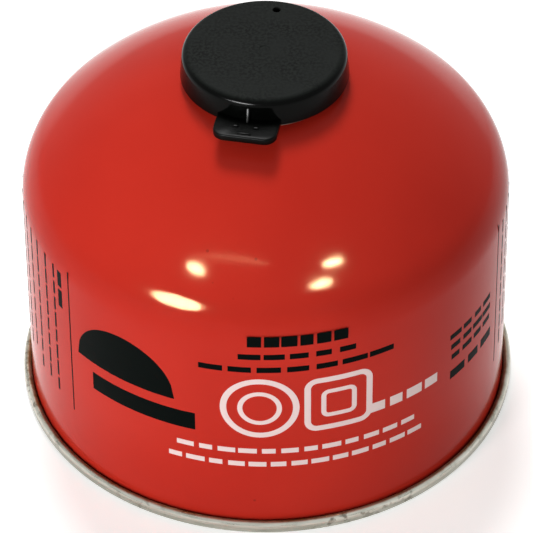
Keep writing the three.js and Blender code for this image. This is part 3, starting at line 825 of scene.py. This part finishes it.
def printRowsAndColumns():
    s = printShape
    thick = 2 * s["lift"]
    for seed, (name, (first, last, height, tall, count, ink)) in enumerate(printRows.items()):
        pitch = math.radians(last - first) * wallRadius / count
        start = math.radians(first) * wallRadius + pitch / 2
        printBars(name, ink, seed, count, (start, 0, height), (pitch, 0, 0),
                  (pitch * s["rowShortest"], thick, tall), (pitch * s["rowLongest"], thick, tall))
    for seed, (name, (azimuth, top, bottom, wide, count)) in enumerate(printColumns.items()):
        pitch = (top - bottom) / count
        shortest, longest = (s["columnShortest"], s["columnLongest"]) if count > 1 else (1, 1)
        printBars(name, "black", s["columnSeed"] + seed, count,
                  (math.radians(azimuth) * wallRadius, 0, top - pitch / 2), (0, 0, -pitch),
                  (wide, thick, pitch * shortest), (wide, thick, pitch * longest))


def wrappedShape(name, azimuths, low, high, steps):  # filled, between two curves low(t) and high(t)
    inner = wallRadius - printShape["lift"]
    outer = wallRadius + printShape["lift"]
    shape = bmesh.new()
    rings = []
    for i in range(steps + 1):
        t = i / steps
        angle = math.radians(azimuths[0] + (azimuths[1] - azimuths[0]) * t)
        section = ((inner, low(t)), (outer, low(t)), (outer, high(t)), (inner, high(t)))
        rings.append([shape.verts.new(aroundAxis(radius, angle, z)) for radius, z in section])
    return skinned(name, shape, rings)


def wrappedBand(name, azimuth, outline, width):  # a closed line of even width along the outline
    lift = printShape["lift"]
    points = [Vector(point) for point in outline]
    shape = bmesh.new()
    rings = []
    for before, here, after in zip(points[-1:] + points, points, points[1:] + points[:1]):
        along = ((here - before).normalized() + (after - here).normalized()).normalized()
        side = Vector((along.y, -along.x)) * width / 2
        ring = []
        for offset, rise in ((side, -lift), (side, lift), (-side, lift), (-side, -lift)):
            spot = here + offset
            angle = math.radians(azimuth) + spot.x / wallRadius
            ring.append(shape.verts.new(aroundAxis(wallRadius + rise, angle, symbols["height"] + spot.y)))
        rings.append(ring)
    return skinned(name, shape, rings, closed=True)


def squareOutline(half, corner):
    turnSteps = symbols["cornerSteps"]
    sideSteps = symbols["sideSteps"]
    turns = []
    for quarter, signs in enumerate(((1, 1), (-1, 1), (-1, -1), (1, -1))):
        centre = Vector(signs) * (half - corner)
        angles = [tau / 4 * (quarter + i / turnSteps) for i in range(turnSteps + 1)]
        turns.append([centre + corner * Vector((math.cos(a), math.sin(a))) for a in angles])
    points = []
    for turn, following in zip(turns, turns[1:] + turns[:1]):
        points += turn + [turn[-1].lerp(following[0], i / sideSteps) for i in range(1, sideSteps)]
    return points


def printSymbols():
    s = symbols
    ring = roundOutline(s["ring"], s["ringSteps"])
    innerRing = roundOutline(s["innerRing"], s["ringSteps"])
    square = squareOutline(s["square"], s["squareCorner"])
    innerSquare = squareOutline(s["innerSquare"], s["innerCorner"])
    printed["pale"] += [
        wrappedBand("paleRing", s["ringAzimuth"], ring, s["outerLine"]),
        wrappedBand("paleInnerRing", s["ringAzimuth"], innerRing, s["innerLine"]),
        wrappedBand("paleSquare", s["squareAzimuth"], square, s["outerLine"]),
        wrappedBand("paleInnerSquare", s["squareAzimuth"], innerSquare, s["innerLine"]),
    ]


def archTop(t):
    return halfRound["foot"] + halfRound["rise"] * math.sqrt(max(1 - (2 * t - 1) ** 2, 0)) + halfRound["edge"]


def printFields():
    printed["black"] += [
        wrappedShape("blackHalfRound", halfRound["azimuths"], lambda t: halfRound["foot"], archTop,
                     halfRound["steps"]),
        wrappedShape("blackBar", plainBar["azimuths"], lambda t: plainBar["foot"], lambda t: plainBar["top"],
                     plainBar["steps"]),
    ]


dashes = dashTree()
printRowsAndColumns()
printSymbols()
printFields()
for colour, ink in inks.items():
    place(joined(colour + "Print", printed[colour]), "can", "red_enamel", ink)
print("stage: print")


# Floor and backdrop: pale, and white where the camera or a shiny surface sees them

stage = {"white": "#ffffff", "floorColour": "#f4f4f2", "floorLift": 0.52, "floorSize": 6.0,
         "worldSeen": 0.75, "worldLight": 0.2}


def seenDirectly(tree):  # one where the camera, or a shiny or clear surface, looks at the backdrop
    rays = addNode(tree, "ShaderNodeLightPath", out=None)
    larger = {"operation": "MAXIMUM"}
    shiny = addNode(tree, "ShaderNodeMath", larger, i0=rays["Is Glossy Ray"], i1=rays["Is Transmission Ray"])
    return addNode(tree, "ShaderNodeMath", larger, i0=rays["Is Camera Ray"], i1=shiny)


def floorPaint():
    material = bpy.data.materials.new("whiteFloor")
    material.use_nodes = True
    tree = material.node_tree
    tree.nodes.clear()
    strength = addNode(tree, "ShaderNodeMapRange", Value=seenDirectly(tree), To_Max=stage["floorLift"])
    glow = addNode(tree, "ShaderNodeEmission", Color=hexColour(stage["white"]), Strength=strength)
    matt = addNode(tree, "ShaderNodeBsdfDiffuse", Color=hexColour(stage["floorColour"]))
    both = addNode(tree, "ShaderNodeAddShader", i0=glow, i1=matt)
    addNode(tree, "ShaderNodeOutputMaterial", out=None, Surface=both)
    return material


def makeFloor():
    half = stage["floorSize"] / 2
    mesh = bpy.data.meshes.new("floor")
    corners = [(-half, -half, 0), (half, -half, 0), (half, half, 0), (-half, half, 0)]
    mesh.from_pydata(corners, [], [(0, 1, 2, 3)])
    floor = bpy.data.objects.new("floor", mesh)
    bpy.context.scene.collection.objects.link(floor)
    floor.data.materials.append(floorPaint())


def makeWorld():
    world = bpy.data.worlds.new("studio")
    bpy.context.scene.world = world
    world.use_nodes = True
    tree = world.node_tree
    tree.nodes.clear()
    strength = addNode(tree, "ShaderNodeMapRange", Value=seenDirectly(tree), To_Min=stage["worldLight"],
                       To_Max=stage["worldSeen"])
    back = addNode(tree, "ShaderNodeBackground", Color=hexColour(stage["white"]), Strength=strength)
    addNode(tree, "ShaderNodeOutputWorld", out=None, Surface=back)


makeFloor()
makeWorld()


# Lamps: three broad soft ones, and small ones placed so that the shoulder shows their reflections

# Broad lamps: direction from the canister, distance and size in metres, power, shown in reflections
broadLamps = {
    "overheadLamp": ((-0.07, 0.47, 0.88), 1.2, 0.34, 9.2, True),
    "frontLeftLamp": ((-0.62, -0.76, 0.19), 0.95, 0.3, 4.6, False),
    "frontRightLamp": ((0.46, -0.87, 0.19), 0.95, 0.3, 0.5, False),
}
# Glints: azimuth and height where each shows on the shell, lamp width and height in metres, roll, power
glints = {
    "glintA": (-21.6, 61.4, 0.36, 0.29, 0, 97), "glintB": (-18.75, 67.1, 0.115, 0.052, 0, 8.6),
    "glintC": (13.7, 65.15, 0.14, 0.04, -4, 9.3), "glintD": (18.05, 67.9, 0.12, 0.026, -13, 8),
    "glintE": (-8.6, 69.3, 0.42, 0.025, 8, 1.05),
}
# The cap's own low lamp, which its rolled edge and gusset reflect: width and height in metres
capLamp = {"direction": (-0.5, -0.84, 0.2), "width": 0.5, "height": 0.14, "power": 16}
# What the lamps share: the height that the broad ones aim at and the small ones' distance, in metres
lampAim = {"height": 0.06, "glintDistance": 0.9, "broadColour": "#ffffff", "glintColour": "#ffdca6"}


def shellPoint(azimuth, height):  # a point on the painted shell, and the way that it faces there
    lift = (height - canShape["wallTop"]) / canShape["shoulder"]
    if lift < math.sin(math.radians(shoulderAngle)):
        slope = math.asin(max(lift, 0))
        radius = shoulderCentre + canShape["shoulder"] * math.cos(slope)
    else:
        slope = math.asin((height - crownCentre) / canShape["crown"])
        radius = canShape["crown"] * math.cos(slope)
    turn = math.radians(azimuth)
    outward = Vector((math.sin(turn), -math.cos(turn), 0))
    normal = outward * math.cos(slope) + Vector((0, 0, math.sin(slope)))
    return (outward * radius + Vector((0, 0, height))) * mm, normal


def addLamp(name, where, target, power, colour, width, height=None, roll=0):
    lamp = bpy.data.lights.new(name, "AREA")
    lamp.energy = power
    lamp.color = hexColour(colour)[:3]
    lamp.shape = "ELLIPSE" if height else "DISK"
    lamp.size = width
    if height:
        lamp.size_y = height
    holder = bpy.data.objects.new(name, lamp)
    holder.location = where
    aim = (target - where).to_track_quat("-Z", "Y").to_matrix().to_4x4()
    holder.rotation_euler = (aim @ Matrix.Rotation(math.radians(roll), 4, "Z")).to_euler()
    bpy.context.scene.collection.objects.link(holder)
    return holder


def reflectOnly(lamps, name, piece):  # the lamps show as reflections only, and only on this piece
    receivers = bpy.data.collections.new(name)
    receivers.objects.link(piece)
    for lamp in lamps:
        lamp.visible_diffuse = False
        lamp.light_linking.receiver_collection = receivers


def makeLamps():
    middle = Vector((0, 0, lampAim["height"]))
    for name, (direction, distance, size, power, shown) in broadLamps.items():
        where = middle + distance * Vector(direction)
        lamp = addLamp(name, where, middle, power, lampAim["broadColour"], size)
        lamp.visible_glossy = shown
    small = []
    for name, (azimuth, height, wide, tall, roll, power) in glints.items():
        spot, normal = shellPoint(azimuth, height)
        toCamera = (cameraPlace - spot).normalized()
        bounce = 2 * normal.dot(toCamera) * normal - toCamera
        small.append(addLamp(name, spot + bounce * lampAim["glintDistance"], spot, power,
                             lampAim["glintColour"], wide, tall, roll))
    reflectOnly(small, "shellPieces", shellPiece)
    capTop = Vector(metres(0, 0, capShape["top"]))
    low = addLamp("capGlint", capTop + lampAim["glintDistance"] * Vector(capLamp["direction"]), capTop,
                  capLamp["power"], lampAim["broadColour"], capLamp["width"], capLamp["height"])
    reflectOnly([low], "capPieces", capPiece)


makeLamps()
bpy.context.scene.view_settings.view_transform = "Standard"
print("stage: lamps")
